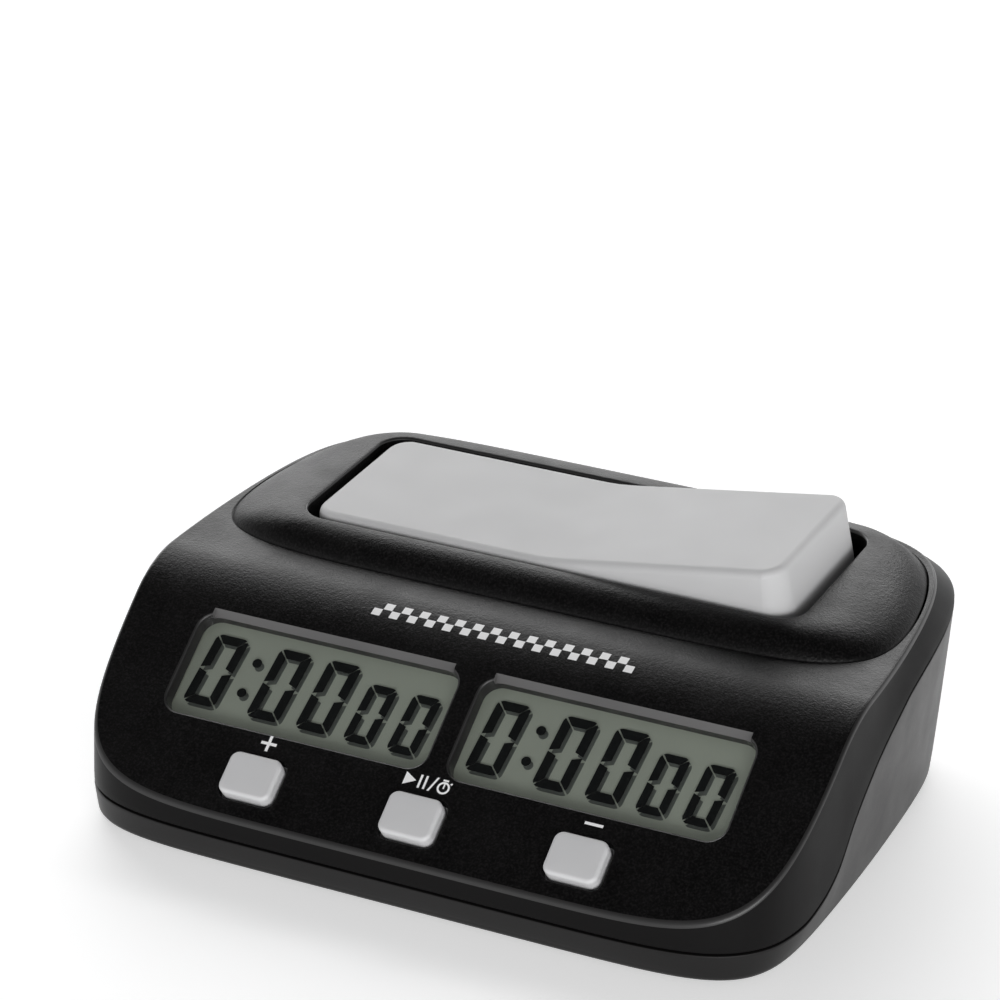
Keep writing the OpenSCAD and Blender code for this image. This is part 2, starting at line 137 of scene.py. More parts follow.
def rr_ray(lx, ly, r, ang=ANG, cx=0.0, cy=0.0):
    """Rounded rectangle met by rays at the given angles of its own normalised frame."""
    pts = []
    for t in ang:
        dx, dy = abs(math.cos(t)) * lx, abs(math.sin(t)) * ly
        k = min(lx / dx if dx > 1e-9 else 1e9, ly / dy if dy > 1e-9 else 1e9)
        x, y = k * dx, k * dy
        if x > lx - r and y > ly - r:
            ax, ay = lx - r, ly - r
            qa, qb, qc = dx * dx + dy * dy, -2 * (dx * ax + dy * ay), ax * ax + ay * ay - r * r
            k = (-qb + math.sqrt(max(qb * qb - 4 * qa * qc, 0))) / (2 * qa)
            x, y = k * dx, k * dy
        pts.append((cx + math.copysign(x, math.cos(t)), cy + math.copysign(y, math.sin(t))))
    return np.array(pts)


def well_out(g, r=None):
    return rr_ray(WELL[0] + g, WELL[1] + g, (WELL[2] + g) if r is None else r, cy=WELL[3])


def rr(w, h, r, seg=10, side=6):
    """Rounded rectangle, anticlockwise, with points along the sides. Gives points and outward normals."""
    pts, nrm = [], []
    corners = [(w / 2 - r, h / 2 - r, 0), (-w / 2 + r, h / 2 - r, 90), (-w / 2 + r, -h / 2 + r, 180), (w / 2 - r, -h / 2 + r, 270)]
    for i, (cx, cy, a0) in enumerate(corners):
        for j in range(seg + 1):
            a = math.radians(a0 + 90 * j / seg)
            nrm.append((math.cos(a), math.sin(a)))
            pts.append((cx + r * math.cos(a), cy + r * math.sin(a)))
        nx, ny, na = corners[(i + 1) % 4]
        a = math.radians(a0 + 90)
        p0, p1 = pts[-1], (nx + r * math.cos(a), ny + r * math.sin(a))
        for j in range(1, side):
            f = j / side
            pts.append((p0[0] + (p1[0] - p0[0]) * f, p0[1] + (p1[1] - p0[1]) * f))
            nrm.append((math.cos(a), math.sin(a)))
    return np.array(pts), np.array(nrm)


def ring3(xy, z):
    return np.column_stack([xy, np.broadcast_to(z, (len(xy),))])


# ---------------------------------------------------------------- meshes
class Build:
    """Vertices in millimetres, and faces with material indices."""

    def __init__(self):
        self.v, self.f, self.m = [], [], []

    def add(self, pts):
        i = len(self.v)
        self.v.extend([tuple(map(float, p)) for p in pts])
        return list(range(i, i + len(pts)))

    def face(self, idx, m=0):
        self.f.append(tuple(idx))
        self.m.append(m)

    def loft(self, rings, caps=(True, True), m=0, mats=None, closed=False):
        ids = [self.add(r) for r in rings]
        n = len(ids[0])
        pairs = list(zip(ids[:-1], ids[1:]))
        if closed:
            pairs.append((ids[-1], ids[0]))
        for k, (a, b) in enumerate(pairs):
            mi = mats[k] if mats else m
            for j in range(n):
                self.face((a[j], a[(j + 1) % n], b[(j + 1) % n], b[j]), mi)
        if caps[0] and not closed:
            self.face(ids[0][::-1], mats[0] if mats else m)
        if caps[1] and not closed:
            self.face(ids[-1], mats[-1] if mats else m)
        return ids

    def prism(self, poly, z0, z1, m=0):
        self.loft([ring3(np.array(poly), z0), ring3(np.array(poly), z1)], m=m)

    def profile(self, w, h, r, prof, cx=0.0, cy=0.0, m=0, seg=10, side=4, crown=0.0, closed=False):
        """Rounded rectangle carried up a profile of (inset, height) pairs. The last ring is closed by a crowned top."""
        pts, nrm = rr(w, h, r, seg, side)
        rings = [ring3(pts - nrm * d + (cx, cy), z) for d, z in prof]
        if crown:
            d, z = prof[-1]
            base = pts - nrm * d
            for k in (0.25, 0.5, 0.75, 0.92):
                rings.append(ring3(base * (1 - k) + (cx, cy), z + crown * (1 - (1 - k) ** 2)))
        self.loft(rings, m=m, closed=closed)

    def cyl(self, cx, cy, prof, seg=32, m=0):
        a = 2 * PI * np.arange(seg) / seg
        self.loft([ring3(np.stack([cx + r * np.cos(a), cy + r * np.sin(a)], 1), z) for r, z in prof], m=m)

    def move(self, mat):
        self.v = [tuple(mat @ Vector(p)) for p in self.v]
        return self

    def merge(self, other):
        i = len(self.v)
        self.v += other.v
        self.f += [tuple(x + i for x in f) for f in other.f]
        self.m += other.m
        return self


def to_mesh(b, name, weld=1e-6):
    me = bpy.data.meshes.new(name)
    me.from_pydata([(x * MM, y * MM, z * MM) for x, y, z in b.v], [], b.f)
    me.polygons.foreach_set("material_index", b.m)
    bm = bmesh.new()
    bm.from_mesh(me)
    bmesh.ops.remove_doubles(bm, verts=bm.verts, dist=weld)
    bmesh.ops.dissolve_degenerate(bm, dist=1e-7, edges=bm.edges)
    bmesh.ops.recalc_face_normals(bm, faces=bm.faces)
    bm.to_mesh(me)
    bm.free()
    me.update()
    return me


def temp(b, name):
    o = bpy.data.objects.new(name, to_mesh(b, name))
    bpy.context.scene.collection.objects.link(o)
    return o


def boolean(o, cutter, op):
    for m in o.data.materials:
        cutter.data.materials.append(m)
    md = o.modifiers.new("b", "BOOLEAN")
    md.operation, md.solver, md.object = op, "EXACT", cutter
    bpy.context.view_layer.update()
    dg = bpy.context.evaluated_depsgraph_get()
    me = bpy.data.meshes.new_from_object(o.evaluated_get(dg))
    o.modifiers.clear()
    old = o.data
    o.data = me
    bpy.data.meshes.remove(old)
    cm = cutter.data
    bpy.data.objects.remove(cutter)
    bpy.data.meshes.remove(cm)


def shade(o, angle=32.0, weighted=True):
    me = o.data
    me.shade_smooth()
    me.set_sharp_from_angle(angle=math.radians(angle))
    if weighted:
        md = o.modifiers.new("wn", "WEIGHTED_NORMAL")
        md.mode, md.weight, md.keep_sharp = "FACE_AREA", 70, True
        bpy.context.view_layer.update()
        dg = bpy.context.evaluated_depsgraph_get()
        me = bpy.data.meshes.new_from_object(o.evaluated_get(dg))
        o.modifiers.clear()
        old = o.data
        o.data = me
        bpy.data.meshes.remove(old)
    return o


def clean(o):
    bm = bmesh.new()
    bm.from_mesh(o.data)
    bmesh.ops.dissolve_degenerate(bm, dist=2e-7, edges=bm.edges)
    loose = [v for v in bm.verts if not v.link_faces]
    bmesh.ops.delete(bm, geom=loose, context="VERTS")
    bm.to_mesh(o.data)
    bm.free()


def piece(o, name, body, nodes=()):
    o.name = name
    o.data.name = name
    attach(o, body)
    if nodes:
        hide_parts(*nodes)
    return o


def make(b, name, body, mats, nodes=(), angle=32.0, weighted=True):
    o = temp(b, name)
    for m in mats:
        o.data.materials.append(m)
    shade(o, angle, weighted)
    return piece(o, name, body, nodes)


ON_FACE = Matrix.Translation((0, FACE_Y0, FACE_Z0)) @ Matrix.Rotation(TILT, 4, "X")
ROCK = Matrix.Translation(PIVOT) @ Matrix.Rotation(-SWING / 2, 4, "Y")

# ---------------------------------------------------------------- materials


class Mat:
    """A small helper that builds a node material around one Principled shader."""

    def __init__(self, name):
        self.mat = bpy.data.materials.new(name)
        self.mat.use_nodes = True
        self.nt = self.mat.node_tree
        self.nt.nodes.clear()
        self.out = self.nt.nodes.new("ShaderNodeOutputMaterial")
        self.p = self.nt.nodes.new("ShaderNodeBsdfPrincipled")
        self.nt.links.new(self.p.outputs[0], self.out.inputs[0])
        self.co = self.nt.nodes.new("ShaderNodeTexCoord").outputs["Object"]

    def node(self, kind, **inputs):
        n = self.nt.nodes.new(kind)
        for k, v in inputs.items():
            n.inputs[k.replace("_", " ")].default_value = v
        return n

    def link(self, a, b):
        self.nt.links.new(a, b)
        return b

    def noise(self, scale, detail=3.0, rough=0.5, co=None):
        n = self.node("ShaderNodeTexNoise", Scale=scale, Detail=detail, Roughness=rough)
        self.link(co or self.co, n.inputs["Vector"])
        return n.outputs["Fac"]

    def voronoi(self, scale, out="Distance"):
        n = self.node("ShaderNodeTexVoronoi", Scale=scale)
        self.link(self.co, n.inputs["Vector"])
        return n.outputs[out]

    def ramp(self, fac, *stops):
        n = self.nt.nodes.new("ShaderNodeValToRGB")
        while len(n.color_ramp.elements) < len(stops):
            n.color_ramp.elements.new(0.5)
        for e, (pos, col) in zip(n.color_ramp.elements, stops):
            e.position = pos
            e.color = (*col, 1) if isinstance(col, tuple) else (col, col, col, 1)
        self.link(fac, n.inputs["Fac"])
        return n.outputs["Color"]

    def span(self, fac, lo, hi):
        n = self.node("ShaderNodeMapRange")
        n.inputs["To Min"].default_value, n.inputs["To Max"].default_value = lo, hi
        self.link(fac, n.inputs["Value"])
        return n.outputs["Result"]

    def add(self, a, b, fb=1.0):
        n = self.nt.nodes.new("ShaderNodeMath")
        n.operation = "MULTIPLY_ADD"
        self.link(b, n.inputs[0])
        n.inputs[1].default_value = fb
        self.link(a, n.inputs[2])
        return n.outputs[0]

    def bump(self, height, dist, strength=1.0):
        n = self.node("ShaderNodeBump", Strength=strength, Distance=dist)
        self.link(height, n.inputs["Height"])
        self.link(n.outputs["Normal"], self.p.inputs["Normal"])

    def set(self, **kw):
        for k, v in kw.items():
            s = self.p.inputs[k.replace("_", " ")]
            if hasattr(v, "is_output"):
                self.link(v, s)
            else:
                s.default_value = (*v, 1) if isinstance(v, tuple) and len(v) == 3 else v
        return self


def plastic(name, col, rough, var=0.12, grain=0.0, grain_scale=2600.0, spec=0.5, orange=0.0, wear=0.06, ior=1.5, speck=0.0):
    """Moulded plastic: faint colour drift, uneven gloss and, where asked, a spark-eroded grain."""
    m = Mat(name)
    drift = m.noise(38.0, 2.0)
    lo, hi = tuple(c * (1 - var) for c in col), tuple(min(1, c * (1 + var)) for c in col)
    m.set(Base_Color=m.ramp(drift, (0.3, lo), (0.7, hi)))
    fine = m.noise(grain_scale, 2.0, 0.6)
    if speck:
        dots = m.noise(grain_scale, 1.0, 0.5)
        m.set(Base_Color=m.ramp(dots, (0.34, tuple(c / speck for c in col)), (0.5, col), (0.68, tuple(c * speck for c in col))))
        wear += 0.07
    smear = m.noise(110.0, 4.0, 0.6)
    m.set(Roughness=m.span(m.add(smear, fine, 0.35 if grain else 0.1), rough - wear, rough + wear + 0.03), Specular_IOR_Level=spec, IOR=ior)
    h = fine
    if grain:
        h = m.add(fine, m.noise(grain_scale * 0.42, 2.0, 0.5), 0.8)
    if grain or orange:
        m.bump(h if grain else m.noise(900.0, 2.0), (grain or orange) * MM)
    return m.mat


def metal(name, col, rough, scale=1400.0, brushed=None):
    m = Mat(name)
    co = m.co
    if brushed:
        mp = m.node("ShaderNodeMapping")
        mp.inputs["Scale"].default_value = brushed
        m.link(m.co, mp.inputs["Vector"])
        co = mp.outputs["Vector"]
    n = m.noise(scale, 3.0, 0.55, co)
    tint = m.noise(180.0, 2.0)
    m.set(Metallic=1.0, Base_Color=m.ramp(tint, (0.3, tuple(c * 0.88 for c in col)), (0.7, col)), Roughness=m.span(n, rough * 0.7, rough * 1.35))
    m.bump(n, 0.006 * MM, 0.5)
    return m.mat


M_TOP = plastic("spark_textured_black", (0.0026, 0.0024, 0.0025), 0.31, 0.15, grain=0.075, grain_scale=2500.0, ior=1.265, speck=3.5)
M_SKIRT = plastic("satin_black", (0.004, 0.0037, 0.0038), 0.34, 0.1, grain=0.004, grain_scale=4200.0, ior=1.2)
# a lighter black for sharp edges and window walls: painted highlight lines along the edges
M_PAINTED_EDGE_HIGHLIGHT = plastic("painted_edge_highlight_black", (0.017, 0.0165, 0.0165), 0.3, 0.15, grain=0.006)
# a much lighter black for the bevel over each window: painted light on the bevel
M_PAINTED_BEVEL_LIGHT = plastic("window_bevel_painted_light", (0.1, 0.098, 0.098), 0.32, 0.15, grain=0.004)
M_LOWER = plastic("satin_charcoal", (0.009, 0.0085, 0.0085), 0.34, 0.12, grain=0.008, grain_scale=3600.0, ior=1.31)
M_ROCK = plastic("rocker_light_grey", (0.605, 0.605, 0.608), 0.5, 0.02, orange=0.004, spec=0.3)
M_KEY = plastic("key_light_grey", (0.645, 0.645, 0.652), 0.36, 0.02, orange=0.003, spec=0.45)
M_PRINT = plastic("pad_print_white", (0.97, 0.97, 0.97), 0.45, 0.02, grain=0.004)
M_DARK = plastic("moulded_black", (0.018, 0.018, 0.019), 0.4, 0.15, grain=0.01)
M_RUB = plastic("soft_rubber", (0.022, 0.022, 0.022), 0.72, 0.2, grain=0.02, grain_scale=1800.0, spec=0.3)
M_SIL = plastic("grey_silicone", (0.16, 0.16, 0.17), 0.6, 0.1, grain=0.01, spec=0.35)
M_HOLD = plastic("natural_white", (0.68, 0.67, 0.63), 0.45, 0.04, orange=0.004)
M_EPOXY = plastic("epoxy_black", (0.01, 0.01, 0.011), 0.28, 0.2, grain=0.012, grain_scale=1500.0)
M_SLEEVE = plastic("capacitor_sleeve", (0.01, 0.014, 0.07), 0.25, 0.1, orange=0.004)
M_RED = plastic("wire_red", (0.42, 0.012, 0.01), 0.35, 0.1, orange=0.003)
M_BLACKW = plastic("wire_black", (0.015, 0.015, 0.016), 0.35, 0.1, orange=0.003)
M_GREYW = plastic("wire_grey", (0.3, 0.3, 0.31), 0.35, 0.08, orange=0.003)
M_STEEL = metal("zinc_plated_steel", (0.62, 0.62, 0.63), 0.26)
M_TIN = metal("tinned_sheet", (0.72, 0.72, 0.73), 0.22, 900.0, (1, 14, 1))
M_NICKEL = metal("bright_nickel", (0.78, 0.77, 0.74), 0.13)
M_BRASS = metal("brass_sheet", (0.72, 0.52, 0.22), 0.24, 700.0, (14, 1, 1))


def lcd_material():
    m = Mat("reflective_lcd_painted_glow")
    base = m.noise(60.0, 2.0)
    # the faint emission is a painted glow that brightens the shaded panel; a reflective LCD gives no light of its own
    m.set(Base_Color=m.ramp(base, (0.3, (0.525, 0.555, 0.48)), (0.7, (0.56, 0.595, 0.51))),
          Roughness=m.span(m.noise(3000.0, 2.0), 0.42, 0.6), Specular_IOR_Level=0.35,
          Emission_Color=(0.5, 0.53, 0.46), Emission_Strength=0.09)
    m.bump(m.noise(5200.0, 1.0), 0.006 * MM, 0.6)
    return m.mat


def segment_material():
    m = Mat("lcd_segment")
    m.set(Base_Color=m.ramp(m.noise(240.0, 2.0), (0.3, (0.0055, 0.007, 0.0075)), (0.7, (0.009, 0.011, 0.0115))),
          Roughness=m.span(m.noise(500.0, 2.0), 0.5, 0.62), Specular_IOR_Level=0.25)
    return m.mat


def painted_digit_shadow_material():
    """Painted shadow: grey copies of the segments laid on the reflector, offset to where their shade would fall."""
    m = Mat("lcd_segment_painted_shadow")
    m.set(Base_Color=m.ramp(m.noise(240.0, 2.0), (0.3, (0.2, 0.215, 0.2)), (0.7, (0.235, 0.25, 0.23))),
          Roughness=m.span(m.noise(500.0, 2.0), 0.5, 0.62), Specular_IOR_Level=0.25)
    return m.mat


def lens_material():
    """Thin clear acrylic: see-through, with gloss that follows the angle and faint smears."""
    m = Mat("clear_acrylic")
    nt = m.nt
    m.set(Roughness=m.span(m.noise(70.0, 3.0), 0.04, 0.1), Base_Color=(0.02, 0.02, 0.02), Specular_IOR_Level=0.5)
    tr = nt.nodes.new("ShaderNodeBsdfTransparent")
    tr.inputs["Color"].default_value = (0.955, 0.965, 0.96, 1)
    gl = nt.nodes.new("ShaderNodeBsdfGlossy")
    gl.inputs["Color"].default_value = (0.9, 0.9, 0.9, 1)
    nt.links.new(m.span(m.noise(70.0, 3.0), 0.04, 0.1), gl.inputs["Roughness"])
    fr = nt.nodes.new("ShaderNodeFresnel")
    fr.inputs["IOR"].default_value = 1.3
    mx = nt.nodes.new("ShaderNodeMixShader")
    nt.links.new(fr.outputs[0], mx.inputs[0])
    nt.links.new(tr.outputs[0], mx.inputs[1])
    nt.links.new(gl.outputs[0], mx.inputs[2])
    nt.links.new(mx.outputs[0], m.out.inputs[0])
    m.nt.nodes.remove(m.p)
    return m.mat


def board_material():
    """Green solder mask with copper tracks showing through it, and pads."""
    m = Mat("solder_mask")
    mp = m.node("ShaderNodeMapping")
    mp.inputs["Rotation"].default_value = (-TILT, 0, 0)
    m.link(m.co, mp.inputs["Vector"])
    br = m.node("ShaderNodeTexBrick", Scale=260.0)
    br.inputs["Mortar Size"].default_value = 0.16
    br.inputs["Color1"].default_value = br.inputs["Color2"].default_value = (0, 0, 0, 1)
    br.inputs["Mortar"].default_value = (1, 1, 1, 1)
    m.link(mp.outputs["Vector"], br.inputs["Vector"])
    track = m.add(br.outputs["Color"], m.noise(90.0, 1.0), 0.3)
    m.set(Base_Color=m.ramp(track, (0.1, (0.006, 0.075, 0.022)), (0.9, (0.016, 0.16, 0.05))), Roughness=m.span(m.noise(400.0), 0.2, 0.32))
    m.bump(track, 0.02 * MM)
    return m.mat


def cell_material():
    """Printed metal sleeve in two plain bands round the cell."""
    m = Mat("cell_sleeve")
    sx = m.nt.nodes.new("ShaderNodeSeparateXYZ")
    m.link(m.co, sx.inputs[0])
    band = m.node("ShaderNodeMapRange")
    band.inputs["From Min"].default_value, band.inputs["From Max"].default_value = -0.026, 0.026
    m.link(sx.outputs["X"], band.inputs["Value"])
    col = m.ramp(band.outputs[0], (0.04, (0.62, 0.6, 0.55)), (0.05, (0.015, 0.015, 0.017)), (0.66, (0.015, 0.015, 0.017)), (0.67, (0.6, 0.35, 0.1)), (0.955, (0.6, 0.35, 0.1)), (0.965, (0.62, 0.6, 0.55)))
    m.set(Base_Color=col, Metallic=0.55, Roughness=m.span(m.noise(160.0), 0.22, 0.38))
    m.bump(m.noise(220.0), 0.01 * MM, 0.5)
    return m.mat


def zebra_material():
    m = Mat("zebra_rubber")
    w = m.node("ShaderNodeTexWave", Scale=420.0)
    m.link(m.co, w.inputs["Vector"])
    m.set(Base_Color=m.ramp(w.outputs["Fac"], (0.35, (0.05, 0.04, 0.05)), (0.6, (0.55, 0.24, 0.3))), Roughness=m.span(m.noise(300.0), 0.5, 0.65))
    return m.mat


M_LCD, M_SEG, M_PAINTED_SHADOW, M_LENS, M_PCB, M_CELL, M_ZEBRA = lcd_material(), segment_material(), painted_digit_shadow_material(), lens_material(), board_material(), cell_material(), zebra_material()

# ---------------------------------------------------------------- top cover


def top_cover():
    b = Build()
    S = case_out(0)
    sz = seam_z(S[:, 1])
    EDGE = 0.85
    T = case_out(0, 0.0)
    rings, mats = [], []

    def ring(xy, z, m):
        rings.append(ring3(xy, z))
        mats.append(m)

    # outside, from the lip at the parting line up to the face
    ring(case_out(-2.2), sz + 0.22, 1)
    ring(case_out(-0.55), sz + 0.22, 1)
    ring(case_out(-0.16), sz + 0.28, 1)
    ring(case_out(-0.03), sz + 0.46, 1)
    # the last skirt ring takes material 2, the painted edge highlight
    zt = face_z(T[:, 1]) - EDGE
    for s in np.linspace(0, 1, 9)[1:]:
        z0 = sz + 0.5
        ring(case_out(0, 1 - s ** 1.15), z0 + (zt - z0) * s, 1 if s < 0.99 else 2)
    # small rounded edge onto the face; its outer rings carry a painted highlight (material 2)
    for a in (20, 40, 60, 75, 90):
        d = EDGE * (1 - math.cos(math.radians(a)))
        P = case_out(-d, 0.0)
        ring(P, face_z(P[:, 1]) - EDGE * (1 - math.sin(math.radians(a))), 2 if a < 70 else 0)
    A, C = case_out(-EDGE, 0.0), bezel_out(0.35)
    n = 44
    for i in range(1, n + 1):
        P = A + (C - A) * (i / n)
        ring(P, face_z(P[:, 1]), 0)
    # fine valley where the bezel rises
    P = bezel_out(0.06)
    ring(P, face_z(P[:, 1]) - 0.22, 0)
    P = bezel_out(-0.12)
    zc = face_z(P[:, 1])
    ring(P, zc - 0.02, 0)
    # pillow of the bezel
    W = well_out(0.55, WELL[2] + 0.5)
    n = 30
    for i in range(1, n + 1):
        s = (i / n) ** 1.45
        Q = P + (W - P) * s
        h = (1 - (1 - s) ** 2.3) ** 0.8
        ring(Q, zc + (RIM_Z - zc) * h, 0)
    # rounded lip of the well, its outer rings in the painted edge highlight material (2)
    for a in (25, 50, 75, 90):
        k = math.radians(a)
        ring(well_out(0.55 * (1 - math.sin(k))), RIM_Z - 0.5 * (1 - math.cos(k)), 2 if a < 80 else 0)
    ring(well_out(0.0), 38.0, 0)
    ring(well_out(0.0), TUB_FLOOR + 1.4, 0)
    for a in (30, 60, 90):
        k = math.radians(a)
        ring(well_out(-1.4 * (1 - math.cos(k))), TUB_FLOOR + 1.4 * (1 - math.sin(k)), 0)
    ring(well_out(-6.0, 1.0), TUB_FLOOR, 0)
    outer = rings
    # inside of the shell
    rings_in = [outer[0]]
    I0 = case_out(-2.4, 0.0)
    zi = face_z(I0[:, 1]) - 3.0
    rings_in.append(ring3((case_out(-2.2) + I0) / 2, (sz + zi) / 2))
    rings_in.append(ring3(I0, zi))
    B = bezel_out(-3.6)
    for i in range(1, 13):
        P = case_out(-3.0, 0.0) * (1 - i / 12) + B * (i / 12)
        rings_in.append(ring3(P, face_z(P[:, 1]) - 2.6))
    rings_in.append(ring3(bezel_out(-4.4), 40.5))
    rings_in.append(ring3(well_out(2.6), 40.8))
    rings_in.append(ring3(well_out(1.8), 40.1))
    rings_in.append(ring3(well_out(1.8), TUB_FLOOR - 2.0))
    ids = b.loft(outer, caps=(False, True), mats=mats[:-1] + [0])
    inner = [ids[0]] + [b.add(r) for r in rings_in[1:]]
    for a, c in zip(inner[:-1], inner[1:]):
        for j in range(SEG):
            b.face((a[j], c[j], c[(j + 1) % SEG], a[(j + 1) % SEG]), 0)
    b.face(inner[-1], 0)
    o = temp(b, "top_cover_v")
    for m in (M_TOP, M_SKIRT, M_PAINTED_EDGE_HIGHLIGHT, M_PAINTED_BEVEL_LIGHT):
        o.data.materials.append(m)
    # ears for the pin, posts and bosses
    add = Build()
    for y0 in (WELL[3] - 12.2, WELL[3] + 9.2):
        a = np.linspace(0, PI, 17)
        poly = [(-5.2, TUB_FLOOR - 1), (5.2, TUB_FLOOR - 1), (4.5, TUB_FLOOR + 1.2)] + [(4.5 * math.cos(t), PIVOT[2] + 4.5 * math.sin(t)) for t in a] + [(-4.5, TUB_FLOOR + 1.2)]
        ear = Build()
        ear.prism(poly, 0, 3.0)
        add.merge(ear.move(Matrix.Translation((0, y0 + 3.0, 0)) @ Matrix.Rotation(PI / 2, 4, "X")))
    for x in (-11, 11):
        add.cyl(x, WELL[3], [(2.5, 17.2), (2.7, TUB_FLOOR - 1)])
    for x, y, z in SCREWS:
        a = 2 * PI * np.arange(32) / 32
        foot = np.stack([x + 3.3 * np.cos(a), y + 3.3 * np.sin(a)], 1)
        add.loft([ring3(foot, z), ring3(foot, face_z(foot[:, 1]) - 1.5 if y < 0 else 40.9)])
    fb = Build()
    for x in (-49, -16.5, 16.5, 49):
        fb.cyl(x, KEY_V, [(2.5, -8.9), (2.6, -1.7)])
    for s in (-1, 1):
        fb.profile(WIN_W + 2.4, WIN_H + 2.4, WIN_R + 1.2, [(0, -3.3), (0, -1.7), (3.0, -1.7), (3.0, -3.3)], cx=s * WIN_C, cy=WIN_H / 2, closed=True)
    add.merge(fb.move(ON_FACE))
    boolean(o, temp(add, "add"), "UNION")
    # windows, key holes and everything bored
    cut = Build()
    f = 0.55
    arc = [(-f * (1 - math.cos(math.radians(a))), -f + f * math.sin(math.radians(a))) for a in (20, 40, 60, 80)]
    # window walls take material 2, the painted edge highlight
    for s in (-1, 1):
        cut.profile(WIN_W, WIN_H - 0.45, WIN_R, [(0, -9), (0, -f)] + arc + [(-f - 0.02, 0.4), (-f - 0.02, 3)], cx=s * WIN_C, cy=WIN_H / 2 - 0.22, m=2)
    f = 0.3
    arc = [(-f * (1 - math.cos(math.radians(a))), -f + f * math.sin(math.radians(a))) for a in (25, 50, 78)]
    for i in (-1, 0, 1):
        cut.profile(KEY_W + 0.9, KEY_H + 0.9, 2.1, [(0, -6), (0, -f)] + arc + [(-f - 0.02, 0.3), (-f - 0.02, 3)], cx=i * KEY_U, cy=KEY_V)
    for x in (-49, -16.5, 16.5, 49):
        cut.cyl(x, KEY_V, [(0.9, -10), (0.9, -4)], 20)
    cut.move(ON_FACE)
    cut.profile(8, 10.4, 1.0, [(0, TUB_FLOOR - 4), (0, TUB_FLOOR + 2)], cx=0, cy=WELL[3])
    pin = Build()
    pin.cyl(0, 0, [(1.5, 0), (1.5, 26)], 32)
    cut.merge(pin.move(Matrix.Translation((0, WELL[3] - 12.7, PIVOT[2])) @ Matrix.Rotation(-PI / 2, 4, "X")))
    for x, y, z in SCREWS:
        cut.cyl(x, y, [(1.2, z - 2), (1.2, z + (5 if y < 0 else 9))], 20)
    for x in (-11, 11):
        cut.cyl(x, WELL[3], [(0.9, 15), (0.9, 23)], 20)
    boolean(o, temp(cut, "cut"), "DIFFERENCE")
    # bevel along the top edge of each window, in a lighter material (index 3) that paints light onto it
    lips, w = Build(), WIN_W / 2 - 1.8
    for s in (-1, 1):
        lips.loft([np.array([(x, v, z) for v, z in ((WIN_H - 1.6, 1.0), (WIN_H - 1.6, -1.5), (WIN_H - 0.5, -1.5), (WIN_H + 0.7, -0.02), (WIN_H + 1.2, 1.0))])
                   for x in (s * WIN_C - w, s * WIN_C + w)], m=3)
    boolean(o, temp(lips.move(ON_FACE), "lips"), "DIFFERENCE")
    clean(o)
    shade(o, 28)
    return piece(o, "top_cover_shell", "case", ["top_cover"])


# ---------------------------------------------------------------- bottom cover


def lower_out(t, g=0.0):
    """Outline of the lower shell, t from 0 at its foot to 1 at the parting line."""
    foot = plan(71.7 + g, 51.6 + g, 50.4 + g, 8.0, 0.035, 54.0, -5.0, -5.1)
    return foot * (1 - t) + case_out(g) * t


